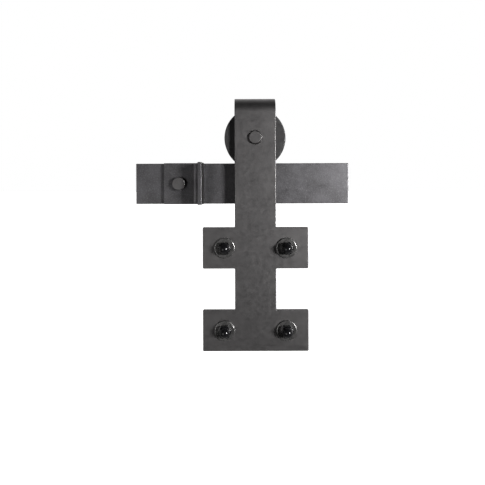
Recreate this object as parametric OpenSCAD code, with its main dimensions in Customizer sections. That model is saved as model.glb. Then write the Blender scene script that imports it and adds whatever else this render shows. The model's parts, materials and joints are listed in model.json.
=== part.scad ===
// Sliding barn door hardware: a flat rail on stand-offs, a rail stop, and a strap hanger
// whose grooved wheel rolls along the rail's top edge.
// Millimetres. X runs along the rail, +Y points into the wall and +Z is up.
// The origin is on the wall plane, on the axis of the first wall screw.

/* [Rail] */
// Length of the flat bar
rail_l = 268; // [240:1:2000]
// Height of the flat bar
rail_h = 50.8; // [44:0.1:60]
// Thickness of the flat bar
rail_t = 6.35; // [5:0.05:8]
// Distance from the rail's left end to the first wall screw
rail_end_to_screw = 55; // [30:1:60]
// Distance between the two wall screws
screw_spacing = 101.6; // [90:0.1:120]
// Length of the stand-offs that hold the rail off the wall
standoff_l = 31.75; // [30:0.05:50]
// Outer diameter of the stand-offs
standoff_d = 22; // [16:0.5:26]

/* [Wall screws] */
// Diameter of the plain shank
screw_d = 7.94; // [6:0.01:8.2]
// Diameter over the threads
screw_thread_d = 7.5; // [5:0.01:7.8]
// Threaded length behind the wall plane, with its point
screw_thread_l = 46; // [30:1:60]
// Width across the flats of the hex head
screw_head_af = 12.7; // [10:0.1:12.8]
// Height of the hex head
screw_head_h = 5; // [4:0.1:5]
// Outer diameter of the round cap over the head
screw_cap_d = 16.6; // [16.4:0.1:20]
// Height of the round cap
screw_cap_h = 6.3; // [6:0.1:7]

/* [Rail stop] */
// Thickness of the bent plate
stop_t = 4.76; // [3:0.01:6]
// Height of the bent plate
stop_h = 51.4; // [40:0.1:60]
// Length of the leg that lies on the rail, over the bend
stop_leg = 49.6; // [44:0.1:70]
// Distance from that leg's free end to its screw hole
stop_hole = 19.4; // [15:0.1:20]
// Length of the leg that stands out from the rail, over the bend
stop_flange = 31.75; // [28:0.05:40]
// Inside radius of the bend
stop_bend_r = 7.5; // [4:0.1:8]
// Thickness of the rubber facing
bumper_t = 2; // [1.5:0.1:5]
// Margin of bare steel round the rubber facing
bumper_margin = 0.8; // [0.5:0.1:4]

/* [Hanger] */
// Width of the strap
strap_w = 50.8; // [50:0.1:60]
// Thickness of the strap
strap_t = 4.76; // [4:0.01:5]
// Inside radius of the hook over the wheel, half the space between its legs
hook_r = 14.24; // [14:0.01:15]
// Height of the hook's top above the axle
hook_top = 50.4; // [50:0.1:60]
// Distance from the axle down to the end of the hook's back leg
back_leg = 23; // [16:0.1:24]
// Height of each of the two cross plates
plate_h = 50.8; // [45:0.1:60]
// Width of the cross plates
plate_w = 130; // [110:1:150]
// Gap between the two cross plates
plate_gap = 50.8; // [40:0.1:60]
// Distance from the axle down to the upper cross plate
plate_drop = 110.6; // [106:0.1:140]
// Radius of the flat bar's cut corners
corner_r = 1.5; // [0.5:0.1:6]
// Distance from the first wall screw to the axle with the hanger at rest
axle_x = 95.1; // [94:0.1:96]

/* [Wheel] */
// Outer diameter of the wheel
wheel_d = 76.2; // [75:0.1:77]
// Width of the wheel
wheel_w = 22.2; // [21:0.1:24]
// Radius of the tread at the bottom of the groove
tread_r = 31; // [30:0.1:33]
// Width of the tread
tread_w = 7.8; // [7.4:0.1:9]
// How far each side of the groove leans out from the tread to the rim
groove_lean = 1.2; // [0.5:0.1:2]
// Chamfer at the wheel's rim
rim_chamfer = 1.0; // [0.4:0.1:2]
// Free height between the tread and the rail's top edge
tread_gap = 0.2; // [0.1:0.1:0.4]

/* [Axle and bearing] */
// Diameter of the axle bolt
axle_d = 12; // [11.8:0.1:12]
// Diameter of the axle bolt's low round head
axle_head_d = 17.7; // [17.2:0.1:22]
// Diameter of the flat on top of that head
axle_head_flat_d = 14.4; // [12:0.1:15]
// Height of that head
axle_head_h = 3.2; // [2:0.1:5]
// Width across the flats of the axle's lock nut
axle_nut_af = 18; // [18:0.5:19]
// Height of the lock nut
axle_nut_h = 8; // [7:0.5:9]
// Outer diameter of the bearing
bearing_d = 32; // [31:0.5:33]
// Width of the bearing
bearing_w = 10; // [9:0.5:11]
// Radius of the circle through the ball centres
ball_pitch_r = 11; // [10.9:0.1:11.1]
// Radius of a ball
ball_r = 2.95; // [2.8:0.01:2.97]
// Number of balls
ball_count = 8; // [6:1:9]

/* [Door bolts] */
// Distance between the bolts along the rail
bolt_spacing_x = 76.2; // [60:0.1:90]
// Diameter of the bolts' plain shank
bolt_d = 9.525; // [9:0.005:9.6]
// Diameter over the bolts' threads
bolt_thread_d = 9; // [8:0.1:9]
// Thickness of the door that the bolts clamp
door_t = 34.925; // [34.925:0.001:38.1]
// Diameter of the round head behind the door
bolt_head_d = 21; // [18:0.5:24]
// Height of that head
bolt_head_h = 5.2; // [4:0.1:6]
// Depth of the square neck below the head
bolt_neck_l = 5.5; // [4:0.1:8]
// Outer diameter of the washers under the cap nuts
washer_d = 25.4; // [20:0.1:30]
// Thickness of those washers
washer_t = 2.1; // [1.5:0.1:3]
// Width across the flats of the cap nuts
cap_nut_af = 14.3; // [13:0.1:16]
// Height of a cap nut's hexagon
cap_nut_hex_h = 6.6; // [5:0.1:8]
// Height of a cap nut with its dome
cap_nut_h = 14; // [12:0.1:17]

/* [Hidden] */
$fn = 96;

// Clearances
free_fit = 0.4;    // radial, a screw or bolt in a drilled hole
snug_fit = 0.02;   // radial, parts pressed or clamped together
sliver = 0.01;     // how far a cutter reaches past the face that it cuts

// Rail
rail_y = -standoff_l - rail_t / 2;        // middle plane of rail, wheel and hook
rail_front = rail_y - rail_t / 2;
screw_x = [0, screw_spacing];
stop_front = rail_front - stop_t;
screw_grip = -stop_front;                 // length of a wall screw's plain shank
screw_seats = [stop_front, rail_front];   // the faces that the two heads bear on
screw_point_l = 9;
screw_hole_d = screw_d + 2 * free_fit;
cap_wall = (screw_cap_d - 15) / 2;
cap_roof = screw_cap_h - screw_head_h - 0.15;

// Stop
stop_x = -stop_hole;
flange_x = stop_x + stop_leg;             // face of the standing leg that meets the hanger
stop_outer_r = stop_bend_r + stop_t;
flange_y = rail_front - stop_flange;

// Hanger
axle_z = rail_h / 2 + tread_gap + tread_r;
strap_back = rail_y - hook_r;
strap_front = strap_back - strap_t;
hook_outer_r = hook_r + strap_t;
hook_z = axle_z + hook_top - hook_outer_r;
plate_z = [axle_z - plate_drop - plate_h, axle_z - plate_drop - 2 * plate_h - plate_gap];
axle_hole_d = axle_d + 0.3;
axle_neck_l = strap_t - 0.4;              // square neck of the axle bolt

// Wheel, measured from its middle plane
wheel_r = wheel_d / 2;
ring_t = 1.2;
ring_groove_r = bearing_d / 2 + 0.85;
ring_groove_w = ring_t + 0.1;

// Bearing, measured from the same plane
race_groove_r = ball_r + 0.13;
inner_race_r = ball_pitch_r - 2.35;
outer_race_r = ball_pitch_r + 2.35;
shield_r = outer_race_r + 0.5;
shield_t = 0.5;
shield_y = bearing_w / 2 - shield_t - 0.3;
cage_r = [ball_pitch_r - 0.8, ball_pitch_r + 0.8];
cage_w = 7.6;
spacer_d = 16;

// Axle's back end
axle_washer_t = 1.6;
axle_end_y = hook_outer_r + axle_washer_t + axle_nut_h + 1.4;
insert_h = 2.4;

// Door bolts
bolt_x = [axle_x - bolt_spacing_x / 2, axle_x + bolt_spacing_x / 2];
bolt_z = [for (z = plate_z) z + plate_h / 2];
door_back = strap_back + door_t;
bolt_hole_d = bolt_d + 2 * free_fit;
bolt_tip_y = strap_front - washer_t - cap_nut_hex_h - 3;

rail_colour = "dimgray";
strap_colour = "slategray";
gloss_colour = "#262626";
zinc_colour = "silver";
bearing_colour = "lightsteelblue";
rubber_colour = "#1c1c1c";

// ---------- helpers ----------

// A solid rod along Y from y0 to y1
module rod(r, y0, y1) {
    translate([0, y0, 0]) rotate([-90, 0, 0]) cylinder(h = y1 - y0, r = r);
}

// A tube along Y from y0 to y1
module tube(r_out, r_in, y0, y1) {
    difference() {
        rod(r_out, y0, y1);
        rod(r_in, y0 - sliver, y1 + sliver);
    }
}

// A hexagonal prism along Y, given across its flats
module hex_bar(af, y0, y1) {
    translate([0, y0, 0]) rotate([-90, 0, 0]) cylinder(h = y1 - y0, d = af / cos(30), $fn = 6);
}

// Turns a 2D outline of (radius, y) points about the Y axis
module lathe() {
    rotate([-90, 0, 0]) rotate_extrude() children();
}

// A rectangle with round corners, from its lower left corner
module rounded_rect(w, h, r) {
    translate([r, 0]) square([w - 2 * r, h]);
    translate([0, r]) square([w, h - 2 * r]);
    for (x = [r, w - r], y = [r, h - r]) translate([x, y]) circle(r);
}

// A flat plate standing in the XZ plane between y0 and y1
module upright_plate(x, z, w, h, y0, y1, r) {
    translate([x, y1, z]) rotate([90, 0, 0]) linear_extrude(y1 - y0) rounded_rect(w, h, r);
}

module at_wall_screws() {
    for (x = screw_x) translate([x, 0, 0]) children();
}

module at_axle() {
    translate([axle_x, rail_y, axle_z]) children();
}

// Draws its children on the wall side of the wheel's middle plane, and mirrored in front of it
module both_sides() {
    children();
    mirror([0, 1, 0]) children();
}

module at_door_bolts() {
    for (x = bolt_x, z = bolt_z) translate([x, 0, z]) children();
}

// ---------- rail, wall side ----------

module rail() {
    color(rail_colour)
    difference() {
        translate([-rail_end_to_screw, rail_front, -rail_h / 2]) cube([rail_l, rail_t, rail_h]);
        at_wall_screws() rod(screw_hole_d / 2, rail_front - 1, rail_front + rail_t + 1);
    }
}

module standoffs() {
    color(rail_colour)
    at_wall_screws() tube(standoff_d / 2, screw_hole_d / 2, -standoff_l, 0);
}

// Hex-head screw: plain shank to the wall plane, then thread and point
module wall_screw(seat) {
    thread_y = seat + screw_grip;
    point_y = thread_y + screw_thread_l - screw_point_l;
    hex_bar(screw_head_af, seat - screw_head_h, seat);
    rod(screw_d / 2, seat - sliver, thread_y);
    rod(screw_thread_d / 2, thread_y - sliver, point_y);
    translate([0, point_y, 0]) rotate([-90, 0, 0])
        cylinder(h = screw_point_l, r1 = screw_thread_d / 2, r2 = 0.4);
}

module wall_screws() {
    color(zinc_colour)
    for (i = [0, 1]) translate([screw_x[i], 0, 0]) wall_screw(screw_seats[i]);
}

// Round push-on cap: a cup over the hex head, chamfered at its front
module screw_cap() {
    edge = 0.5;
    difference() {
        lathe() polygon([
            [0, -screw_cap_h], [screw_cap_d / 2 - edge, -screw_cap_h],
            [screw_cap_d / 2, -screw_cap_h + edge], [screw_cap_d / 2, 0], [0, 0]
        ]);
        rod(screw_cap_d / 2 - cap_wall, -screw_cap_h + cap_roof, 1);
    }
}

module screw_caps() {
    color(gloss_colour)
    for (i = [0, 1]) translate([screw_x[i], screw_seats[i], 0]) screw_cap();
}

// ---------- rail stop ----------

// Outline of the bent plate, seen from above
module stop_outline() {
    bend_x = flange_x - stop_outer_r;
    bend_y = rail_front - stop_outer_r;
    translate([stop_x, stop_front]) square([bend_x - stop_x, stop_t]);
    translate([flange_x - stop_t, flange_y]) square([stop_t, bend_y - flange_y]);
    translate([bend_x, bend_y]) intersection() {
        difference() {
            circle(stop_outer_r);
            circle(stop_bend_r);
        }
        square(stop_outer_r + 1);
    }
}

module stop_bracket() {
    color(rail_colour)
    difference() {
        translate([0, 0, -stop_h / 2]) linear_extrude(stop_h) stop_outline();
        rod(screw_hole_d / 2, stop_front - 1, rail_front + 1);
    }
}

module stop_bumper() {
    y0 = flange_y + bumper_margin;
    y1 = rail_front - stop_outer_r;
    color(rubber_colour)
    translate([flange_x, y0, -stop_h / 2 + bumper_margin])
        cube([bumper_t, y1 - y0, stop_h - 2 * bumper_margin]);
}

// ---------- hanger ----------

// Half ring over the wheel, joining the strap's front and back legs
module hook_bend() {
    translate([axle_x - strap_w / 2, rail_y, hook_z]) rotate([90, 0, 90])
    linear_extrude(strap_w) intersection() {
        difference() {
            circle(hook_outer_r);
            circle(hook_r);
        }
        translate([-hook_outer_r - 1, 0]) square([2 * hook_outer_r + 2, hook_outer_r + 1]);
    }
}

module hanger_strap() {
    strap_x = axle_x - strap_w / 2;
    foot_z = plate_z[1];
    back_z = axle_z - back_leg;
    color(strap_colour)
    difference() {
        union() {
            hook_bend();
            translate([strap_x, strap_front, foot_z + corner_r])
                cube([strap_w, strap_t, hook_z - foot_z - corner_r]);
            for (z = plate_z)
                upright_plate(axle_x - plate_w / 2, z, plate_w, plate_h,
                              strap_front, strap_back, corner_r);
            translate([strap_x, rail_y + hook_r, back_z]) cube([strap_w, strap_t, hook_z - back_z]);
        }
        at_axle() rod(axle_hole_d / 2, 0, hook_outer_r + 1);
        at_axle() translate([-axle_hole_d / 2, -hook_outer_r - 1, -axle_hole_d / 2])
            cube([axle_hole_d, strap_t + 2, axle_hole_d]);
        at_door_bolts() rod(bolt_hole_d / 2, strap_front - 1, strap_back + 1);
    }
}

// Low round head with a rounded edge, a square neck in the front leg, and a plain pin
module axle_bolt() {
    head_r = axle_head_d / 2;
    flat_r = axle_head_flat_d / 2;
    brim = 0.8;
    dome_h = axle_head_h - brim;
    color(gloss_colour) at_axle() translate([0, -hook_outer_r, 0]) {
        lathe() polygon(concat(
            [[0, 0], [head_r, 0]],
            [for (a = [0:15:90]) [flat_r + (head_r - flat_r) * cos(a), -brim - dome_h * sin(a)]],
            [[0, -axle_head_h]]
        ));
        translate([-axle_d / 2, -sliver, -axle_d / 2]) cube([axle_d, axle_neck_l, axle_d]);
        rod(axle_d / 2, axle_neck_l - 2 * sliver, hook_outer_r + axle_end_y);
    }
}

module axle_washer() {
    color(zinc_colour)
    at_axle() tube(12, axle_hole_d / 2, hook_outer_r, hook_outer_r + axle_washer_t);
}

// Thin lock nut: a chamfered hexagon with a round collar round its nylon insert
module axle_nut() {
    nut_y = hook_outer_r + axle_washer_t;
    hex_h = axle_nut_h - insert_h;
    collar_r = axle_nut_af / 2 - 0.6;
    color(zinc_colour) at_axle() translate([0, nut_y, 0]) difference() {
        union() {
            intersection() {
                hex_bar(axle_nut_af, 0, hex_h);
                lathe() polygon([
                    [0, 0], [axle_nut_af / 2, 0], [axle_nut_af / 2 + 1.6, 0.9],
                    [axle_nut_af / 2 + 1.6, hex_h - 0.9], [axle_nut_af / 2, hex_h], [0, hex_h]
                ]);
            }
            rod(collar_r, hex_h - 0.5, axle_nut_h);
        }
        rod(axle_d / 2 + snug_fit, -1, axle_nut_h + 1);
        rod(collar_r - 1, hex_h, axle_nut_h - 0.5);
    }
}

module axle_nut_insert() {
    nut_y = hook_outer_r + axle_washer_t;
    hex_h = axle_nut_h - insert_h;
    ring_r = axle_nut_af / 2 - 1.6 - snug_fit;
    color("steelblue")
    at_axle() tube(ring_r, axle_d / 2 + snug_fit, nut_y + hex_h, nut_y + axle_nut_h - 0.5);
}

module front_spacer() {
    color(zinc_colour)
    at_axle() tube(spacer_d / 2, axle_d / 2 + snug_fit, -hook_r, -bearing_w / 2);
}

module back_spacer() {
    color(zinc_colour)
    at_axle() tube(spacer_d / 2, axle_d / 2 + snug_fit, bearing_w / 2, hook_r);
}

// ---------- wheel and bearing ----------

// The ring that the balls run in, to be cut out of both races
module ball_groove() {
    lathe() translate([ball_pitch_r, 0]) circle(race_groove_r);
}

module bearing_inner_race() {
    color(bearing_colour)
    at_axle() difference() {
        tube(inner_race_r, axle_d / 2 + snug_fit, -bearing_w / 2, bearing_w / 2);
        ball_groove();
    }
}

module bearing_outer_race() {
    color(bearing_colour)
    at_axle() difference() {
        tube(bearing_d / 2, outer_race_r, -bearing_w / 2, bearing_w / 2);
        ball_groove();
        both_sides() rod(shield_r, shield_y, bearing_w);
    }
}

module bearing_shields() {
    color(zinc_colour)
    at_axle() both_sides()
        tube(shield_r - snug_fit, inner_race_r + 0.35, shield_y, shield_y + shield_t);
}

module bearing_balls() {
    color(bearing_colour)
    at_axle() for (i = [0:ball_count - 1]) rotate([0, i * 360 / ball_count, 0])
        translate([ball_pitch_r, 0, 0]) sphere(ball_r);
}

module bearing_cage() {
    color("goldenrod")
    at_axle() difference() {
        tube(cage_r[1], cage_r[0], -cage_w / 2, cage_w / 2);
        for (i = [0:ball_count - 1]) rotate([0, i * 360 / ball_count + 90, 0])
            cylinder(h = bearing_d / 2, r = ball_r + 0.1);
    }
}

// Half outline of the wheel, from its bearing seat out to the rim
function wheel_half(s) = [
    [bearing_d / 2, s * wheel_w / 2],
    [wheel_r - rim_chamfer, s * wheel_w / 2],
    [wheel_r, s * (wheel_w / 2 - rim_chamfer)],
    [wheel_r, s * (tread_w / 2 + groove_lean)],
    [tread_r, s * tread_w / 2]
];
function reversed(list) = [for (i = [len(list) - 1:-1:0]) list[i]];

module wheel() {
    color(strap_colour)
    at_axle() difference() {
        lathe() polygon(concat(wheel_half(-1), reversed(wheel_half(1))));
        both_sides() rod(ring_groove_r, bearing_w / 2, bearing_w / 2 + ring_groove_w);
    }
}

// Internal circlip: an open ring with a drilled ear at each end
module retaining_ring() {
    ring_in = bearing_d / 2 - 1.6;
    ear_a = 17;
    rotate([-90, 0, 0]) linear_extrude(ring_t) difference() {
        union() {
            difference() {
                circle(ring_groove_r - 0.05);
                circle(ring_in);
            }
            for (s = [-1, 1]) rotate(90 + s * ear_a) translate([ring_in - 0.6, 0]) circle(2.2);
        }
        for (s = [-1, 1]) rotate(90 + s * ear_a) translate([ring_in - 0.9, 0]) circle(0.8);
        polygon([[0, 0], [-3.2, ring_groove_r + 1], [3.2, ring_groove_r + 1]]);
    }
}

module retaining_rings() {
    color(zinc_colour)
    at_axle() both_sides() translate([0, bearing_w / 2 + 0.05, 0]) retaining_ring();
}

// ---------- door side ----------

// Round-head bolt from behind the door: domed head, square neck, shank and thread
module door_bolt() {
    head_r = bolt_head_d / 2;
    rim = 1.2;
    lathe() polygon(concat(
        [[0, door_back], [head_r, door_back]],
        [for (a = [0:10:90])
            [head_r * cos(a), door_back + rim + (bolt_head_h - rim) * sin(a)]]
    ));
    translate([-bolt_d / 2, door_back - bolt_neck_l, -bolt_d / 2])
        cube([bolt_d, bolt_neck_l + sliver, bolt_d]);
    rod(bolt_d / 2, strap_back, door_back - bolt_neck_l + sliver);
    rod(bolt_thread_d / 2, bolt_tip_y, strap_back + sliver);
}

module door_bolts() {
    color(gloss_colour) at_door_bolts() door_bolt();
}

module door_washers() {
    color(gloss_colour)
    at_door_bolts() tube(washer_d / 2, bolt_d / 2 + 0.8, strap_front - washer_t, strap_front);
}

// Cap nut: a chamfered hexagon under a dome, with a blind threaded hole
module cap_nut() {
    af_r = cap_nut_af / 2;
    dome_r = af_r - 0.7;
    neck_y = -cap_nut_h + dome_r;
    difference() {
        union() {
            intersection() {
                hex_bar(cap_nut_af, -cap_nut_hex_h, 0);
                lathe() polygon([
                    [0, -cap_nut_hex_h], [af_r - 0.2, -cap_nut_hex_h],
                    [af_r + 1.3, -cap_nut_hex_h + 0.9], [af_r + 1.3, 0], [0, 0]
                ]);
            }
            lathe() polygon(concat(
                [[0, -1], [dome_r, -1]],
                [for (a = [0:7.5:90]) [dome_r * cos(a), neck_y - dome_r * sin(a)]]
            ));
        }
        rod(bolt_thread_d / 2 + snug_fit, -cap_nut_hex_h - 4, 1);
    }
}

module cap_nuts() {
    color(gloss_colour)
    at_door_bolts() translate([0, strap_front - washer_t, 0]) cap_nut();
}

rail();
standoffs();
wall_screws();
screw_caps();
stop_bracket();
stop_bumper();
hanger_strap();
axle_bolt();
axle_washer();
axle_nut();
axle_nut_insert();
front_spacer();
back_spacer();
bearing_inner_race();
wheel();
bearing_outer_race();
bearing_shields();
retaining_rings();
bearing_balls();
bearing_cage();
door_bolts();
door_washers();
cap_nuts();
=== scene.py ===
"""Looks of the sliding barn door hardware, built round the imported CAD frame.

Lengths are metres in the CAD frame: X along the rail, +Y into the wall, Z up.
"""

import json
import random
from collections import namedtuple
from math import atan2, ceil, cos, pi, radians, sin, tan

import bmesh
import bpy
from mathutils import Matrix, Vector
from mathutils.geometry import tessellate_polygon


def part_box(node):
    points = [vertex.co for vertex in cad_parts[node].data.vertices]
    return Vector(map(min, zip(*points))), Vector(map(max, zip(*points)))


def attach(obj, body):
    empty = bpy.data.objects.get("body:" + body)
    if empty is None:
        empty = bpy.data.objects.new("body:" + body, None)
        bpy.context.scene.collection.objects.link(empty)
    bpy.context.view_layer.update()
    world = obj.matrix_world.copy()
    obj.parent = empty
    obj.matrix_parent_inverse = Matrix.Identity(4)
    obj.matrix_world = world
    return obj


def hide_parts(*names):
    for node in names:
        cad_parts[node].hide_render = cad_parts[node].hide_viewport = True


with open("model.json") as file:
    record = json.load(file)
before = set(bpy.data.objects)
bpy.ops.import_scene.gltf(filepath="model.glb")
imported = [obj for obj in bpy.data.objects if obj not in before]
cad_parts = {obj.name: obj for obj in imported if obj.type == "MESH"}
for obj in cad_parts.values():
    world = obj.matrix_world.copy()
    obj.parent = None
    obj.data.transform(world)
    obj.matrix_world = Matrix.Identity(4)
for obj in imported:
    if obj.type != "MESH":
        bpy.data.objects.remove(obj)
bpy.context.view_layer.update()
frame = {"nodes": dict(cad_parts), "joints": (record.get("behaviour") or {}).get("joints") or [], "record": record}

MM = 0.001
TINY = 1e-7
X, Y, Z = Vector((1, 0, 0)), Vector((0, 1, 0)), Vector((0, 0, 1))
SMOOTH_ANGLE = radians(32)
rng = random.Random(11)

# Flats and threads of turned pieces, between low and high along Y
Prism = namedtuple("Prism", "sides apothem low high")
Thread = namedtuple("Thread", "pitch depth sharpness low high")

mounts = {m["name"]: m for m in frame["record"]["mounts"]}
joints = {j["name"]: j for j in frame["joints"]}


# ---------- places, from the frame ----------

def pattern(name):
    """The (x, z) centres of a mount's bolts."""
    mount = mounts[name]
    dims = mount["dims"]
    half_x = dims["spacing_x_mm"] * MM / 2
    half_z = dims.get("spacing_y_mm", 0) * MM / 2
    x, _, z = mount["pos_m"]
    rows = [z + half_z, z - half_z] if half_z else [z]
    return [(x + side * half_x, row) for row in rows for side in (-1, 1)]


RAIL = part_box("rail")
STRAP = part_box("hanger_strap")
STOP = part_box("stop_bracket")
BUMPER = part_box("stop_bumper")
AXLE = Vector(joints["wheel_roll"]["pos_m"])
SCREWS = pattern("wall_screws")
DOOR_BOLTS = pattern("door_bolts")

SCREW_HOLE_R = 4.37 * MM
AXLE_HOLE_R = 6.15 * MM

STRAP_W = 50.8 * MM
STRAP_T = 4.76 * MM
STRAP_FRONT = STRAP[0].y
HOOK_R = 14.24 * MM
HOOK_Z = STRAP[1].z - HOOK_R - STRAP_T
PLATE_H = 50.8 * MM
PLATE_GAP = 50.8 * MM
BACK_LEG = 23 * MM
BALLS = 8

STOP_T = 4.76 * MM
STOP_BEND_R = 7.5 * MM
RAIL_FRONT = RAIL[0].y
STOP_FRONT = RAIL_FRONT - STOP_T


# ---------- mesh helpers ----------

def rounded(corners, steps=6):
    """A closed outline, in which each corner is (a, b) or (a, b, radius of its rounding)."""
    points = []
    for i, corner in enumerate(corners):
        here = Vector(corner[:2])
        if len(corner) < 3:
            points.append(here)
            continue
        radius = corner[2]
        back = (Vector(corners[i - 1][:2]) - here).normalized()
        on = (Vector(corners[(i + 1) % len(corners)][:2]) - here).normalized()
        half = back.angle(on) / 2
        centre = here + (back + on).normalized() * radius / sin(half)
        start = here + back * radius / tan(half) - centre
        end = here + on * radius / tan(half) - centre
        turn = atan2(start.x * end.y - start.y * end.x, start.dot(end))
        for k in range(steps + 1):
            points.append(centre + Matrix.Rotation(turn * k / steps, 2) @ start)
    return points


def hole(a, b, radius, steps=48):
    """A round hole's outline, clockwise."""
    return [Vector((a + radius * cos(t), b - radius * sin(t)))
            for t in (2 * pi * k / steps for k in range(steps))]


def square_hole(a, b, half, radius):
    """A square hole's outline, clockwise, with rounded corners."""
    corners = [(a - half, b - half), (a - half, b + half), (a + half, b + half), (a + half, b - half)]
    return rounded([(*c, radius) for c in corners])


def moved_left(loop, distance):
    """A closed loop of points, moved to its own left."""
    moved = []
    for i, here in enumerate(loop):
        into = (here - loop[i - 1]).normalized()
        out = (loop[(i + 1) % len(loop)] - here).normalized()
        normal = Vector((-into.y - out.y, into.x + out.x)).normalized()
        stretch = normal.dot(Vector((-into.y, into.x)))
        moved.append(here + normal * distance / stretch)
    return moved


def strip(bm, low, high):
    """Faces between two rings of vertices, either of which may be a single point."""
    count = max(len(low), len(high))
    for k in range(count):
        n = (k + 1) % count
        if len(low) == 1:
            bm.faces.new((low[0], high[n], high[k]))
        elif len(high) == 1:
            bm.faces.new((low[k], low[n], high[0]))
        else:
            bm.faces.new((low[k], low[n], high[n], high[k]))


def plate_mesh(loops, thickness, edge, steps=5):
    """A flat plate from w = 0 to thickness, whose loops are its outline and its holes in u, v.

    Its edges are rounded to a radius of edge. The flat faces end in edges marked sharp, which keeps
    their shading flat where they meet the rounding.
    """
    bm = bmesh.new()
    quarter = [pi / 2 * k / steps for k in range(steps + 1)]
    levels = [(edge * (1 - sin(t)), edge * (1 - cos(t))) for t in quarter]
    levels += [(edge * (1 - cos(t)), thickness - edge * (1 - sin(t))) for t in quarter]
    caps = ([], [])
    for loop in loops:
        rings = [[bm.verts.new((*p, w)) for p in moved_left(loop, inset)] for inset, w in levels]
        for low, high in zip(rings, rings[1:]):
            strip(bm, low, high)
        for cap, ring in zip(caps, (rings[0], rings[-1])):
            cap.append(ring)
            for here, there in zip(ring, ring[1:] + ring[:1]):
                bm.edges.get((here, there)).smooth = False
    for cap in caps:
        verts = [v for ring in cap for v in ring]
        for triangle in tessellate_polygon([[v.co for v in ring] for ring in cap]):
            bm.faces.new([verts[i] for i in triangle])
    return bm


def bend(bm, start, inside_r, thickness, angle, steps):
    """Bends a plate towards +w past u = start, as a press does, with its middle layer kept at length."""
    middle = inside_r + thickness / 2
    for k in range(steps + 1):
        bmesh.ops.bisect_plane(
            bm, geom=bm.verts[:] + bm.edges[:] + bm.faces[:], dist=TINY,
            plane_co=(start + middle * angle * k / steps, 0, 0), plane_no=(1, 0, 0))
    for v in bm.verts:
        past = v.co.x - start
        if past <= 0:
            continue
        turn = min(past / middle, angle)
        rest = past - turn * middle
        radius = inside_r + thickness - v.co.z
        v.co.x = start + radius * sin(turn) + rest * cos(turn)
        v.co.z = inside_r + thickness - radius * cos(turn) + rest * sin(turn)


def turned_mesh(outline, flats=None, thread=None, segments=96):
    """A solid turned about Y from an outline of (radius, y), open at the axis or closed round a bore.

    flats is a Prism that it is cut to, and thread is a right-hand Thread that is cut into it.
    """
    def radius_at(r, y, angle):
        if flats and flats.low <= y <= flats.high:
            step = 2 * pi / flats.sides
            off = (angle + step / 2) % step - step / 2
            r = min(r, flats.apothem / cos(off))
        if thread and thread.low <= y <= thread.high:
            across = abs((y / thread.pitch + angle / (2 * pi)) % 1 * 2 - 1)
            ridge = max(0, 1 - across * thread.sharpness)
            fade = min(1, (y - thread.low) / thread.pitch, (thread.high - y) / thread.pitch)
            cut = thread.depth * fade * (1 - min(1, ridge * crest))
            r = max(r - cut, r * core)
        return r

    crest = 1.15  # above 1, so that the thread's crests are a little flat
    core = 0.2  # the part of a thin point's radius that a thread always leaves
    bm = bmesh.new()
    rings = []
    for r, y in outline:
        if r < TINY:
            rings.append([bm.verts.new((0, y, 0))])
            continue
        angles = [2 * pi * k / segments for k in range(segments)]
        rings.append([
            bm.verts.new((radius_at(r, y, a) * cos(a), y, radius_at(r, y, a) * sin(a))) for a in angles])
    pairs = list(zip(rings, rings[1:]))
    if len(rings[0]) > 1:
        pairs.append((rings[-1], rings[0]))
    for low, high in pairs:
        strip(bm, low, high)
    return bm


def threaded(r0, r1, y0, y1, pitch, rows=10):
    """Outline points that carry a thread: rows of them along Y in each turn of it."""
    count = ceil(abs(y1 - y0) / pitch * rows)
    return [(r0 + (r1 - r0) * k / count, y0 + (y1 - y0) * k / count) for k in range(count + 1)]


def piece(name, bm, body, slot, finish, *nodes, place=Matrix.Identity(4)):
    """Makes a piece of a bmesh, and lets it ride on a body in place of CAD nodes.

    It is shaded smooth, except across edges that are marked sharp or turn by more than SMOOTH_ANGLE.
    """
    bmesh.ops.remove_doubles(bm, verts=bm.verts[:], dist=TINY)
    bmesh.ops.recalc_face_normals(bm, faces=bm.faces[:])
    for face in bm.faces:
        face.smooth = True
    for edge in bm.edges:
        if edge.calc_face_angle(0) > SMOOTH_ANGLE:
            edge.smooth = False
    mesh = bpy.data.meshes.new(name)
    bm.to_mesh(mesh)
    bm.free()
    mesh.transform(place)
    return piece_of(name, mesh, body, slot, finish, *nodes)


def piece_of(name, mesh, body, slot, finish, *nodes, matrix=Matrix.Identity(4)):
    """The same for a mesh, which several pieces may share."""
    if not mesh.materials:
        mesh.materials.append(finish)
    obj = bpy.data.objects.new(name, mesh)
    bpy.context.scene.collection.objects.link(obj)
    obj.matrix_world = matrix
    weighting = obj.modifiers.new("normals", "WEIGHTED_NORMAL")
    weighting.weight = 100
    weighting.keep_sharp = True
    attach(obj, body)
    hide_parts(*nodes)
    return obj


def axes(origin, u, v):
    """The matrix that takes a plate's u, v, w to the frame."""
    w = u.cross(v)
    return Matrix.Translation(origin) @ Matrix((u, v, w)).transposed().to_4x4()


def copies(bm, name, body, slot, finish, node, places, turn=0.0, spread=0.0):
    """Pieces that share one mesh, one at each (x, y, z).

    Each is turned about Y by turn, and by a random angle of up to spread either way.
    """
    first = piece(f"{name}_1", bm, body, slot, finish, node)
    for i, place in enumerate(places):
        angle = turn + rng.uniform(-spread, spread)
        matrix = Matrix.Translation(place) @ Matrix.Rotation(angle, 4, "Y")
        if i:
            piece_of(f"{name}_{i + 1}", first.data, body, slot, finish, node, matrix=matrix)
        else:
            first.matrix_world = matrix


# ---------- materials ----------

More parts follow.
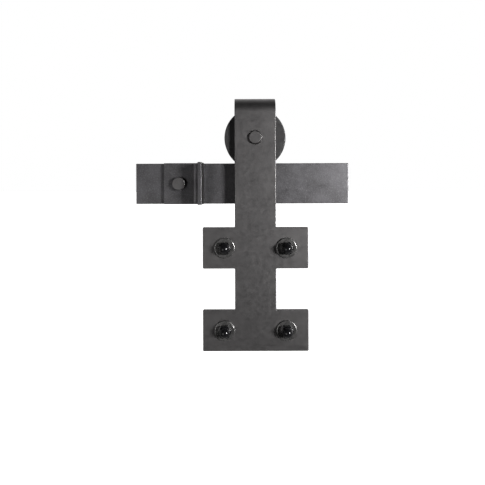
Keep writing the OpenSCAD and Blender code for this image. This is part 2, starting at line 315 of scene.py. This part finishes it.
class Nodes:
    """A material's node tree, with short calls for the nodes that the finishes share."""

    def __init__(self, name):
        self.material = bpy.data.materials.new(name)
        self.material.use_nodes = True
        self.tree = self.material.node_tree
        self.shader = self.tree.nodes["Principled BSDF"]
        self.place = self.add("ShaderNodeTexCoord").outputs["Object"]

    def add(self, kind, **settings):
        node = self.tree.nodes.new(kind)
        for key, value in settings.items():
            setattr(node, key, value)
        return node

    def link(self, source, socket):
        self.tree.links.new(source, socket)

    def noise(self, size, detail=3.0, stretch=(1, 1, 1), roughness=0.55):
        """Noise whose features are about size metres across, longer along an axis with a small stretch."""
        mapping = self.add("ShaderNodeMapping")
        mapping.inputs["Scale"].default_value = [s / size for s in stretch]
        self.link(self.place, mapping.inputs["Vector"])
        noise = self.add("ShaderNodeTexNoise")
        noise.inputs["Scale"].default_value = 1.0
        noise.inputs["Detail"].default_value = detail
        noise.inputs["Roughness"].default_value = roughness
        self.link(mapping.outputs["Vector"], noise.inputs["Vector"])
        return noise.outputs["Fac"]

    def ranged(self, value, low, high, to_low=0.0, to_high=1.0):
        """The value, moved from the range low to high to the range to_low to to_high."""
        node = self.add("ShaderNodeMapRange")
        for socket, number in zip(node.inputs[1:5], (low, high, to_low, to_high)):
            socket.default_value = number
        self.link(value, node.inputs["Value"])
        return node.outputs["Result"]

    def mixed(self, factor, first, second):
        """A mix of two colours, each a socket or a colour."""
        node = self.add("ShaderNodeMix", data_type="RGBA")
        self.link(factor, node.inputs["Factor"])
        # Inputs 6 and 7 and output 2 are the node's colour sockets
        for socket, colour in ((node.inputs[6], first), (node.inputs[7], second)):
            if isinstance(colour, tuple):
                socket.default_value = (*colour, 1)
            else:
                self.link(colour, socket)
        return node.outputs[2]

    def times(self, first, second):
        """A socket times a socket or a number."""
        node = self.add("ShaderNodeMath", operation="MULTIPLY")
        self.link(first, node.inputs[0])
        if isinstance(second, float):
            node.inputs[1].default_value = second
        else:
            self.link(second, node.inputs[1])
        return node.outputs[0]

    def edges(self, radius):
        """1 on edges, where a rounding of radius would lean away from the face, and 0 on flat faces."""
        bevel = self.add("ShaderNodeBevel", samples=6)
        bevel.inputs["Radius"].default_value = radius
        dot = self.add("ShaderNodeVectorMath", operation="DOT_PRODUCT")
        self.link(bevel.outputs["Normal"], dot.inputs[0])
        self.link(self.add("ShaderNodeNewGeometry").outputs["Normal"], dot.inputs[1])
        return self.ranged(dot.outputs["Value"], 0.99, 0.90)

    def bump(self, height, depth, under=None):
        """The normal of a surface raised by up to depth metres, on top of the normal under it."""
        node = self.add("ShaderNodeBump")
        node.inputs["Distance"].default_value = depth
        self.link(height, node.inputs["Height"])
        if under is not None:
            self.link(under, node.inputs["Normal"])
        return node.outputs["Normal"]


def powder_coat(name, dark, light, roughness, fleck=0.55 * MM, mottle=0.5):
    """Satin powder coat: orange peel, flecks, a cloudy tone between dark and light, and lighter edges, partly
    scuffed and partly a painted edge highlight.

    fleck is the flecks' size, and mottle says how much they show.
    """
    # Amount and colour of the lighter edges: partly scuffing, partly a painted edge highlight
    edge_lightening, light_edge_colour = 0.25, (0.30, 0.29, 0.29)
    n = Nodes(name)
    clouds = n.noise(22 * MM, detail=4)
    flecks = n.noise(fleck, detail=2)
    scuffs = n.noise(5 * MM, detail=5, roughness=0.65)
    tone = n.mixed(n.ranged(clouds, 0.35, 0.65), dark, light)
    bright = tuple(c * 1.35 for c in light)
    tone = n.mixed(n.ranged(flecks, 0.50, 0.75, 0.0, mottle), tone, bright)
    # Painted edge highlight mixed with scuffing: the edges turn to a lighter grey where the scuffs noise allows
    lighter_edges = n.times(n.times(n.edges(0.7 * MM), n.ranged(scuffs, 0.42, 0.62)), edge_lightening)
    n.link(n.mixed(lighter_edges, tone, light_edge_colour), n.shader.inputs["Base Color"])
    n.link(n.ranged(scuffs, 0.3, 0.7, roughness - 0.05, roughness + 0.05), n.shader.inputs["Roughness"])
    peel = n.bump(n.noise(1.6 * MM, detail=2), 0.012 * MM)
    n.link(n.bump(flecks, 0.010 * MM, under=peel), n.shader.inputs["Normal"])
    n.shader.inputs["Metallic"].default_value = 0.95
    return n.material


def gloss_black(name, dark, light, roughness):
    """Glossy black plating over turned steel, with faint handling marks and lighter edges."""
    edge_lightening, light_edge_colour = 0.5, (0.10, 0.10, 0.10)
    n = Nodes(name)
    marks = n.noise(1.8 * MM, detail=5, roughness=0.7)
    fine = n.noise(0.4 * MM, detail=2)
    tone = n.mixed(n.ranged(marks, 0.4, 0.7), dark, light)
    lighter_edges = n.times(n.times(n.edges(0.35 * MM), n.ranged(marks, 0.45, 0.6)), edge_lightening)
    n.link(n.mixed(lighter_edges, tone, light_edge_colour), n.shader.inputs["Base Color"])
    n.link(n.ranged(marks, 0.3, 0.7, roughness - 0.05, roughness + 0.08), n.shader.inputs["Roughness"])
    n.link(n.bump(fine, 0.004 * MM), n.shader.inputs["Normal"])
    n.shader.inputs["Specular IOR Level"].default_value = 0.3
    n.shader.inputs["Coat Weight"].default_value = 0.15
    n.shader.inputs["Coat Roughness"].default_value = 0.12
    return n.material


def bare_metal(name, dark, light, roughness, stretch=(1, 1, 1), grain=0.35 * MM, tint=None, metallic=1.0):
    """Bare or plated metal with tool marks, which are fine along the axis in which stretch is large."""
    n = Nodes(name)
    lines = n.noise(grain, detail=3, stretch=stretch)
    clouds = n.noise(4 * MM, detail=4)
    tone = n.mixed(n.ranged(lines, 0.3, 0.7), dark, light)
    if tint:
        tone = n.mixed(n.ranged(clouds, 0.45, 0.7, 0.0, 0.5), tone, tint)
    n.link(tone, n.shader.inputs["Base Color"])
    n.link(n.ranged(clouds, 0.3, 0.7, roughness - 0.06, roughness + 0.08), n.shader.inputs["Roughness"])
    n.link(n.bump(lines, 0.006 * MM), n.shader.inputs["Normal"])
    n.shader.inputs["Metallic"].default_value = metallic
    return n.material


def moulded(name, dark, light, roughness, grain):
    """Moulded rubber or plastic with a fine skin."""
    n = Nodes(name)
    clouds = n.noise(6 * MM, detail=4)
    skin = n.noise(grain, detail=3)
    n.link(n.mixed(n.ranged(clouds, 0.35, 0.65), dark, light), n.shader.inputs["Base Color"])
    n.link(n.ranged(skin, 0.3, 0.7, roughness - 0.07, roughness + 0.07), n.shader.inputs["Roughness"])
    n.link(n.bump(skin, 0.02 * MM), n.shader.inputs["Normal"])
    return n.material


COAT = powder_coat("hanger_coat", (0.176, 0.171, 0.171), (0.202, 0.196, 0.196), roughness=0.45)
RAIL_COAT = powder_coat("rail_coat", (0.145, 0.142, 0.146), (0.195, 0.191, 0.199), roughness=0.45,
                        fleck=1.2 * MM, mottle=0.9)
WHEEL_COAT = powder_coat("wheel_coat", (0.105, 0.103, 0.104), (0.130, 0.128, 0.129), roughness=0.45)
GLOSS = gloss_black("gloss_black", (0.008, 0.008, 0.009), (0.0176, 0.0176, 0.0198), roughness=0.2)
BLACK_ZINC = bare_metal("black_zinc", (0.20, 0.197, 0.195), (0.27, 0.265, 0.262), roughness=0.29,
                        metallic=0.8)
ZINC = bare_metal("zinc", (0.46, 0.46, 0.48), (0.66, 0.66, 0.69), roughness=0.34, stretch=(1, 5, 1),
                  tint=(0.62, 0.60, 0.52))
RACE = bare_metal("bearing_steel", (0.60, 0.60, 0.62), (0.78, 0.78, 0.80), roughness=0.18,
                  stretch=(1, 6, 1), grain=0.2 * MM)
SPRING = bare_metal("spring_steel", (0.10, 0.10, 0.11), (0.20, 0.20, 0.21), roughness=0.38)
BRASS = bare_metal("cage_brass", (0.60, 0.42, 0.18), (0.80, 0.60, 0.30), roughness=0.30,
                   stretch=(1, 5, 1))
RUBBER = moulded("rubber", (0.012, 0.012, 0.012), (0.022, 0.021, 0.021), roughness=0.75, grain=0.5 * MM)
NYLON = moulded("nylon", (0.10, 0.22, 0.46), (0.14, 0.28, 0.54), roughness=0.45, grain=0.8 * MM)


# ---------- rail, wall side ----------

def make_rail():
    """Flat bar with a hole for each wall screw."""
    edge, corner = 0.7 * MM, 0.6 * MM
    low, high = RAIL
    corners = [(low.x, low.z), (high.x, low.z), (high.x, high.z), (low.x, high.z)]
    outline = rounded([(*c, corner) for c in corners])
    holes = [hole(x, z, SCREW_HOLE_R) for x, z in SCREWS]
    bm = plate_mesh([outline, *holes], high.y - low.y, edge)
    piece("rail_bar", bm, "rail_assembly", "rail_steel", RAIL_COAT, "rail",
          place=axes(Vector((0, high.y, 0)), X, Z))


def make_standoffs():
    """Chamfered tubes between rail and wall."""
    outer, bore, chamfer, ease = 11 * MM, SCREW_HOLE_R, 0.8 * MM, 0.3 * MM
    face, wall = RAIL[1].y, 0.0
    outline = rounded([
        (bore, face), (outer - chamfer, face, ease), (outer, face + chamfer, ease),
        (outer, wall - chamfer, ease), (outer - chamfer, wall, ease), (bore, wall)], steps=3)
    copies(turned_mesh(outline), "standoff", "rail_assembly", "rail_steel", RAIL_COAT, "standoffs",
           [(x, 0, z) for x, z in SCREWS])


def make_wall_screws():
    """Hex lag screws: head, plain shank, coarse thread and gimlet point."""
    apothem, head_h = 6.35 * MM, 5 * MM
    shank_r, grip = 3.97 * MM, -STOP_FRONT
    thread_l, point_l, pitch, depth = 46 * MM, 9 * MM, 3.6 * MM, 1.0 * MM
    crest_r, corner_r, tip_r = 3.75 * MM, 7.33 * MM, 0.3 * MM
    face_r, chamfer_h, step = apothem - 0.3 * MM, 0.7 * MM, 1 * MM
    end = grip + thread_l
    outline = [(0, -head_h), (face_r, -head_h), (corner_r, -head_h + chamfer_h)]
    outline += [(corner_r, 0), (shank_r, 0), (shank_r, grip - step)]
    outline += threaded(crest_r, crest_r, grip, end - point_l, pitch)
    outline += threaded(crest_r, tip_r, end - point_l, end, pitch)[1:]
    outline += [(0, end)]
    bm = turned_mesh(outline, flats=Prism(6, apothem, -head_h, 0),
                     thread=Thread(pitch, depth, 1.5, grip, end), segments=72)
    seats = [STOP_FRONT, RAIL_FRONT]
    copies(bm, "wall_screw", "rail_assembly", "zinc_steel", ZINC, "wall_screws",
           [(x, seat, z) for (x, z), seat in zip(SCREWS, seats)], spread=0.5)


def make_screw_caps():
    """Round caps pushed over the lag screws' heads."""
    outer, wall, height, roof = 8.3 * MM, 0.8 * MM, 6.3 * MM, 1.15 * MM
    brow, lip = 1.1 * MM, 0.25 * MM
    inner = outer - wall
    outline = rounded([(0, -height), (outer, -height, brow), (outer, 0, lip), (inner, 0, lip),
                       (inner, -height + roof), (0, -height + roof)])
    seats = [STOP_FRONT, RAIL_FRONT]
    copies(turned_mesh(outline), "screw_cap", "rail_assembly", "hanger_steel", COAT, "screw_caps",
           [(x, seat, z) for (x, z), seat in zip(SCREWS, seats)])


def make_stop():
    """The stop's plate is bent from a flat blank, so its blank is drawn first."""
    edge, corner = 0.6 * MM, 1.0 * MM
    half = STOP[1].z
    free_end, face, tip = STOP[0].x, STOP[1].x, STOP[0].y
    bend_start = face - STOP_T - STOP_BEND_R - free_end
    arc = (STOP_BEND_R + STOP_T / 2) * pi / 2
    standing = RAIL_FRONT - tip - STOP_T - STOP_BEND_R
    length = bend_start + arc + standing
    corners = [(0, -half), (length, -half), (length, half), (0, half)]
    loops = [rounded([(*c, corner) for c in corners]), hole(-free_end, 0, SCREW_HOLE_R)]
    bm = plate_mesh(loops, STOP_T, edge)
    bend(bm, bend_start, STOP_BEND_R, STOP_T, pi / 2, steps=14)
    piece("stop_plate", bm, "rail_assembly", "rail_steel", RAIL_COAT, "stop_bracket",
          place=axes(Vector((free_end, RAIL_FRONT, 0)), X, Z))


def make_bumper():
    """Rubber facing on the stop's standing leg."""
    edge, corner = 0.45 * MM, 1.5 * MM
    low, high = BUMPER
    corners = [(low.y, low.z), (high.y, low.z), (high.y, high.z), (low.y, high.z)]
    loops = [rounded([(*c, corner) for c in corners])]
    bm = plate_mesh(loops, high.x - low.x, edge)
    piece("rubber_facing", bm, "rail_assembly", "rubber", RUBBER, "stop_bumper",
          place=axes(Vector((low.x, 0, 0)), Y, Z))


# ---------- hanger ----------

def make_strap():
    """Strap and cross plates are one blank, whose upper end is bent over the wheel."""
    edge, corner, notch, end_corner = 0.7 * MM, 1.5 * MM, 0.8 * MM, 2.5 * MM
    bolt_hole_r, square_corner = 5.16 * MM, 0.5 * MM
    foot = STRAP[0].z
    half, wing = STRAP_W / 2, (STRAP[1].x - STRAP[0].x) / 2
    straight = HOOK_Z - foot
    arc = (HOOK_R + STRAP_T / 2) * pi
    length = straight + arc + HOOK_Z - (AXLE.z - BACK_LEG)
    upper = PLATE_H + PLATE_GAP
    side = [(0, wing, corner), (PLATE_H, wing, corner), (PLATE_H, half, notch), (upper, half, notch),
            (upper, wing, corner), (upper + PLATE_H, wing, corner), (upper + PLATE_H, half, notch),
            (length, half, end_corner)]
    outline = [(u, -v, r) for u, v, r in side] + side[::-1]
    loops = [rounded(outline)]
    loops += [hole(z - foot, x - AXLE.x, bolt_hole_r) for x, z in DOOR_BOLTS]
    loops += [square_hole(AXLE.z - foot, 0, AXLE_HOLE_R, square_corner)]
    loops += [hole(straight + arc + HOOK_Z - AXLE.z, 0, AXLE_HOLE_R)]
    bm = plate_mesh(loops, STRAP_T, edge)
    bend(bm, straight, HOOK_R, STRAP_T, pi, steps=40)
    piece("strap", bm, "hanger", "hanger_steel", COAT, "hanger_strap",
          place=axes(Vector((AXLE.x, STRAP_FRONT, foot)), Z, X))


def make_axle():
    """Axle bolt: low round head with a steep bevel, square neck, shank, and a thread at its back end."""
    head_r, flat_r, head_h, brim = 8.85 * MM, 7.3 * MM, 3.2 * MM, 0.4 * MM
    shank_r, neck_l = 6 * MM, STRAP_T - 0.4 * MM
    corner_r, neck_from = 8.3 * MM, 0.02 * MM
    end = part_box("axle_bolt")[1].y - STRAP_FRONT
    thread_from, pitch, depth = end - 17 * MM, 1.75 * MM, 0.9 * MM
    taper, lead, runout = 0.4 * MM, 1 * MM, 0.1 * MM
    outline = rounded([
        (0, -head_h), (flat_r, -head_h, 0.35 * MM), (head_r, -brim, 0.5 * MM), (head_r, 0, 0.15 * MM),
        (corner_r, 0)], steps=4)
    outline += [(corner_r, neck_from), (corner_r, neck_l - taper)]
    outline += [(shank_r, neck_l), (shank_r, thread_from - runout)]
    outline += threaded(shank_r, shank_r, thread_from, end - lead, pitch)
    outline += [(shank_r - lead, end), (0, end)]
    bm = turned_mesh(outline, flats=Prism(4, shank_r, neck_from, neck_l),
                     thread=Thread(pitch, depth, 1.0, thread_from, end - lead + pitch))
    piece("axle_bolt_body", bm, "hanger", "hanger_steel", COAT, "axle_bolt",
          place=Matrix.Translation((AXLE.x, STRAP_FRONT, AXLE.z)))


def make_axle_nut():
    """Washer, hex lock nut with a round collar, and the nylon ring inside the collar."""
    washer_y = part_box("axle_washer")[0].y
    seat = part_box("axle_nut")[0].y
    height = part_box("axle_nut")[1].y - seat
    apothem, hex_h, bore = 9 * MM, 5.6 * MM, 6.02 * MM
    corner, collar, inside = apothem + 1.4 * MM, apothem - 0.6 * MM, apothem - 1.6 * MM
    lip, insert_r, insert_top = 0.9 * MM, 7.38 * MM, height - 0.5 * MM
    place = Matrix.Translation((AXLE.x, seat, AXLE.z))
    washer_r, washer_t = 12 * MM, seat - washer_y
    washer = rounded([(AXLE_HOLE_R, 0, 0.2 * MM), (washer_r, 0, 0.4 * MM),
                      (washer_r, washer_t, 0.4 * MM), (AXLE_HOLE_R, washer_t, 0.2 * MM)])
    piece("nut_washer", turned_mesh(washer), "hanger", "zinc_steel", ZINC, "axle_washer",
          place=Matrix.Translation((AXLE.x, washer_y, AXLE.z)))
    chamfer, mouth, foot_r, shoulder_r = 0.9 * MM, 0.5 * MM, apothem - 0.2 * MM, collar + 0.3 * MM
    outline = [(bore, mouth), (bore + mouth, 0), (foot_r, 0), (corner, chamfer),
               (corner, hex_h - chamfer), (shoulder_r, hex_h)]
    outline += rounded([(collar, hex_h + 0.1 * MM), (collar, height, 0.7 * MM),
                        (collar - lip, height, 0.2 * MM), (collar - lip, insert_top)], steps=5)[:-1]
    outline += [(inside, insert_top), (inside, hex_h), (bore, hex_h)]
    bm = turned_mesh(outline, flats=Prism(6, apothem, 0, hex_h))
    piece("lock_nut", bm, "hanger", "zinc_steel", ZINC, "axle_nut", place=place)
    insert_foot = hex_h + 0.02 * MM
    ring = rounded([(bore, insert_foot), (insert_r, insert_foot),
                    (insert_r, insert_top, 0.2 * MM), (bore, insert_top, 0.5 * MM)])
    piece("nylon_ring", turned_mesh(ring), "hanger", "nylon", NYLON, "axle_nut_insert", place=place)


def make_spacers():
    """Short tubes on the axle, on both sides of the bearing."""
    bore, outer = 6.02 * MM, 8 * MM
    for node, name in (("front_spacer", "spacer_front"), ("back_spacer", "spacer_back")):
        low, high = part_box(node)
        outline = rounded([(bore, low.y, 0.2 * MM), (outer, low.y, 0.4 * MM),
                           (outer, high.y, 0.4 * MM), (bore, high.y, 0.2 * MM)])
        piece(name, turned_mesh(outline), "hanger", "zinc_steel", ZINC, node,
              place=Matrix.Translation((AXLE.x, 0, AXLE.z)))


# ---------- wheel ----------

def make_wheel():
    """Steel wheel with a groove for the rail, chamfered rims and two circlip grooves in its bore."""
    rim, tread, half = 38.1 * MM, 31 * MM, 11.1 * MM
    tread_half, lean, chamfer = 3.9 * MM, 1.2 * MM, 1.0 * MM
    ease, lip_ease, tread_ease = 0.35 * MM, 0.6 * MM, 0.5 * MM
    bore, seat, groove_r, groove_w = 16 * MM, 5 * MM, 16.85 * MM, 1.3 * MM
    side = [(bore, half, ease), (rim - chamfer, half, ease), (rim, half - chamfer, ease),
            (rim, tread_half + lean, lip_ease), (tread, tread_half, tread_ease)]
    inside = [(bore, seat), (groove_r, seat), (groove_r, seat + groove_w), (bore, seat + groove_w)]
    front = [(r, -y, *rest) for r, y, *rest in side]
    outline = rounded(front + side[::-1] + inside[::-1] + [(r, -y) for r, y in inside])
    piece("wheel_disc", turned_mesh(outline, segments=160), "rolling_wheel", "wheel_steel", WHEEL_COAT,
          "wheel", place=Matrix.Translation(AXLE))


def make_balls():
    """The bearing's balls, on the circle that fills their CAD node's box."""
    low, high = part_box("bearing_balls")
    ball_r = (high.y - low.y) / 2
    pitch_r = (high.x - low.x) / 2 - ball_r
    bm = bmesh.new()
    bmesh.ops.create_icosphere(bm, subdivisions=4, radius=ball_r)
    turns = (2 * pi * k / BALLS for k in range(BALLS))
    copies(bm, "bearing_ball", "ball_set", "bearing_steel", RACE, "bearing_balls",
           [AXLE + Vector((pitch_r * cos(t), 0, pitch_r * sin(t))) for t in turns])


def finish_bearing():
    """The bearing's other CAD solids are right as they are, and take their finishes here."""
    finishes = {"bearing_inner_race": RACE, "bearing_outer_race": RACE, "bearing_cage": BRASS,
                "bearing_shields": ZINC, "retaining_rings": SPRING}
    for node, finish in finishes.items():
        frame["nodes"][node].material_slots[0].material = finish


# ---------- door side ----------

def make_door_bolts():
    """Round-head bolts: domed head, square neck, shank, and a thread that reaches behind the strap."""
    head_r, head_h, rim = 10.5 * MM, 5.2 * MM, 1.2 * MM
    shank_r, neck_l, corner_r, pitch, depth = 4.76 * MM, 5.5 * MM, 6.4 * MM, 1.59 * MM, 0.75 * MM
    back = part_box("door_bolts")[1].y - head_h
    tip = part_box("door_bolts")[0].y
    thread_r, thread_end, lead = 4.5 * MM, tip + 25.4 * MM, 1 * MM
    taper, step, neck_end = 0.6 * MM, 0.3 * MM, back - 0.02 * MM
    outline = [(0, tip), (thread_r - lead, tip)]
    outline += threaded(thread_r, thread_r, tip + lead, thread_end, pitch)
    outline += [(shank_r, thread_end + step), (shank_r, back - neck_l)]
    outline += [(corner_r, back - neck_l + taper), (corner_r, neck_end), (corner_r, back)]
    outline += [(head_r - step, back)]
    outline += [(head_r * cos(t), back + rim + (head_h - rim) * sin(t))
                for t in (radians(9 * k) for k in range(10))]
    outline += [(0, back + head_h)]
    bm = turned_mesh(outline, flats=Prism(4, shank_r, back - neck_l, neck_end),
                     thread=Thread(pitch, depth, 1.0, tip + lead - pitch, thread_end), segments=80)
    copies(bm, "door_bolt", "hanger", "gloss_black_steel", GLOSS, "door_bolts",
           [(x, 0, z) for x, z in DOOR_BOLTS])


def make_door_washers():
    """Washers under the cap nuts, more rounded at the rim in front."""
    outer, bore, rim, ease = 12.7 * MM, 5.56 * MM, 1.1 * MM, 0.3 * MM
    low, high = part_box("door_washers")
    outline = rounded([(bore, low.y, ease), (outer, low.y, rim),
                       (outer, high.y, ease), (bore, high.y, ease)])
    copies(turned_mesh(outline), "door_washer", "hanger", "gloss_black_steel", BLACK_ZINC, "door_washers",
           [(x, 0, z) for x, z in DOOR_BOLTS])


def make_cap_nuts():
    """Cap nuts: a chamfered hexagon under a dome, with a blind hole."""
    apothem, hex_h, height, bore = 7.15 * MM, 6.6 * MM, 14 * MM, 4.52 * MM
    corner, dome_r, depth = apothem + 0.9 * MM, apothem - 0.5 * MM, 10.6 * MM
    chamfer_r, chamfer_h, foot_h, drill_tip = apothem - 0.25 * MM, 0.6 * MM, 0.8 * MM, 1.5 * MM
    fillet_r, fillet_h = 0.1 * MM, 0.3 * MM
    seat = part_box("cap_nuts")[1].y
    dome_base = -height + dome_r
    outline = [(0, -height)]
    outline += [(dome_r * sin(t), dome_base - dome_r * cos(t))
                for t in (radians(6 * k) for k in range(1, 16))]
    outline += [(dome_r, -hex_h - fillet_h), (dome_r + fillet_r, -hex_h)]
    # The chamfer has several rings of points, so that the flats meet it in curves
    inner, outer = Vector((chamfer_r, -hex_h)), Vector((corner, -hex_h + chamfer_h))
    outline += [inner.lerp(outer, k / 8) for k in range(9)]
    outline += [(corner, -foot_h), (apothem, 0), (bore, 0), (bore, -depth), (0, -depth - drill_tip)]
    bm = turned_mesh(outline, flats=Prism(6, apothem, -hex_h, 0), segments=120)
    copies(bm, "cap_nut", "hanger", "gloss_black_steel", GLOSS, "cap_nuts",
           [(x, seat, z) for x, z in DOOR_BOLTS], turn=radians(30), spread=0.15)


for make in (make_rail, make_standoffs, make_wall_screws, make_screw_caps, make_stop, make_bumper,
             make_strap, make_axle, make_axle_nut, make_spacers, make_wheel, make_balls, finish_bearing,
             make_door_bolts, make_door_washers, make_cap_nuts):
    make()


# ---------- floor, light and camera ----------

def make_floor():
    """Plain pale floor below the hanging object. It glows, so that it meets the studio without a line."""
    drop, half_size = 0.10, 40
    n = Nodes("pale_floor")
    n.link(n.mixed(n.noise(0.4), (0.78, 0.78, 0.78), (0.82, 0.82, 0.82)), n.shader.inputs["Base Color"])
    n.shader.inputs["Roughness"].default_value = 0.9
    n.shader.inputs["Emission Color"].default_value = (1, 1, 1, 1)
    distance = n.add("ShaderNodeVectorMath", operation="LENGTH")
    n.link(n.place, distance.inputs[0])
    n.link(n.ranged(distance.outputs["Value"], 0.3, 6.0, 0.82, 1.0), n.shader.inputs["Emission Strength"])
    bm = bmesh.new()
    bmesh.ops.create_grid(bm, x_segments=1, y_segments=1, size=half_size)
    mesh = bpy.data.meshes.new("floor")
    bm.to_mesh(mesh)
    bm.free()
    mesh.materials.append(n.material)
    floor = bpy.data.objects.new("floor", mesh)
    bpy.context.scene.collection.objects.link(floor)
    floor.location = (AXLE.x, 0, STRAP[0].z - drop)
    floor.visible_diffuse = False
    floor.visible_glossy = False


def make_softbox(name, direction, distance, size, power):
    """A rectangular light at a distance from the middle of the hardware, facing it."""
    light = bpy.data.lights.new(name, "AREA")
    light.shape = "RECTANGLE"
    light.size, light.size_y = size
    light.energy = power
    obj = bpy.data.objects.new(name, light)
    bpy.context.scene.collection.objects.link(obj)
    towards = Vector(direction).normalized()
    centre = Vector((AXLE.x, AXLE.y, -20 * MM))
    obj.location = centre + towards * distance
    obj.rotation_euler = towards.to_track_quat("Z", "Y").to_euler()


def make_world():
    """A white studio seen by the camera. It lights the object from behind, below and both sides only."""
    world = bpy.data.worlds.new("studio")
    bpy.context.scene.world = world
    world.use_nodes = True
    tree = world.node_tree
    tree.nodes.clear()

    def add(kind, **settings):
        node = tree.nodes.new(kind)
        for key, value in settings.items():
            setattr(node, key, value)
        return node

    def glow(direction, low, high, strength):
        """Rises smoothly to strength where a direction's part along the given one goes from low to high."""
        along = add("ShaderNodeVectorMath", operation="DOT_PRODUCT")
        tree.links.new(place, along.inputs[0])
        along.inputs[1].default_value = direction
        rise = add("ShaderNodeMapRange", interpolation_type="SMOOTHSTEP")
        for socket, number in zip(rise.inputs[1:5], (low, high, 0.0, strength)):
            socket.default_value = number
        tree.links.new(along.outputs["Value"], rise.inputs["Value"])
        return rise.outputs["Result"]

    place = add("ShaderNodeTexCoord").outputs["Generated"]
    light = glow(Y, -0.05, 0.55, 1.25)
    for other in (glow(X, 0.70, 0.95, 0.5), glow(-X, 0.70, 0.95, 0.5), glow(-Z, 0.55, 0.90, 0.5)):
        both = add("ShaderNodeMath", operation="MAXIMUM")
        tree.links.new(light, both.inputs[0])
        tree.links.new(other, both.inputs[1])
        light = both.outputs[0]
    dim, white = add("ShaderNodeBackground"), add("ShaderNodeBackground")
    tree.links.new(light, dim.inputs["Strength"])
    white.inputs["Color"].default_value = (1, 1, 1, 1)
    mix = add("ShaderNodeMixShader")
    tree.links.new(add("ShaderNodeLightPath").outputs["Is Camera Ray"], mix.inputs["Fac"])
    tree.links.new(dim.outputs[0], mix.inputs[1])
    tree.links.new(white.outputs[0], mix.inputs[2])
    tree.links.new(mix.outputs[0], add("ShaderNodeOutputWorld").inputs["Surface"])


def make_camera():
    """Camera in front of the rail, a little left of the axle and below it, with its lens shifted down."""
    data = bpy.data.cameras.new("camera")
    data.sensor_width = 36.0
    data.lens = 35.07
    data.shift_y = -0.112
    camera = bpy.data.objects.new("camera", data)
    bpy.context.scene.collection.objects.link(camera)
    from_axle = Vector((-15.8, -600, -62.5)) * MM
    camera.location = AXLE + from_axle
    camera.rotation_euler = (radians(90), radians(0.2), 0)
    bpy.context.scene.camera = camera


make_floor()
make_softbox("key", direction=(0.95, -1.0, 0.12), distance=3.5, size=(0.80, 0.80), power=185)
make_softbox("fill", direction=(-0.60, -1.0, -0.25), distance=2.0, size=(1.1, 1.1), power=11)
make_world()
make_camera()
bpy.context.scene.view_settings.view_transform = "Standard"
bpy.context.scene.view_settings.gamma = 0.85
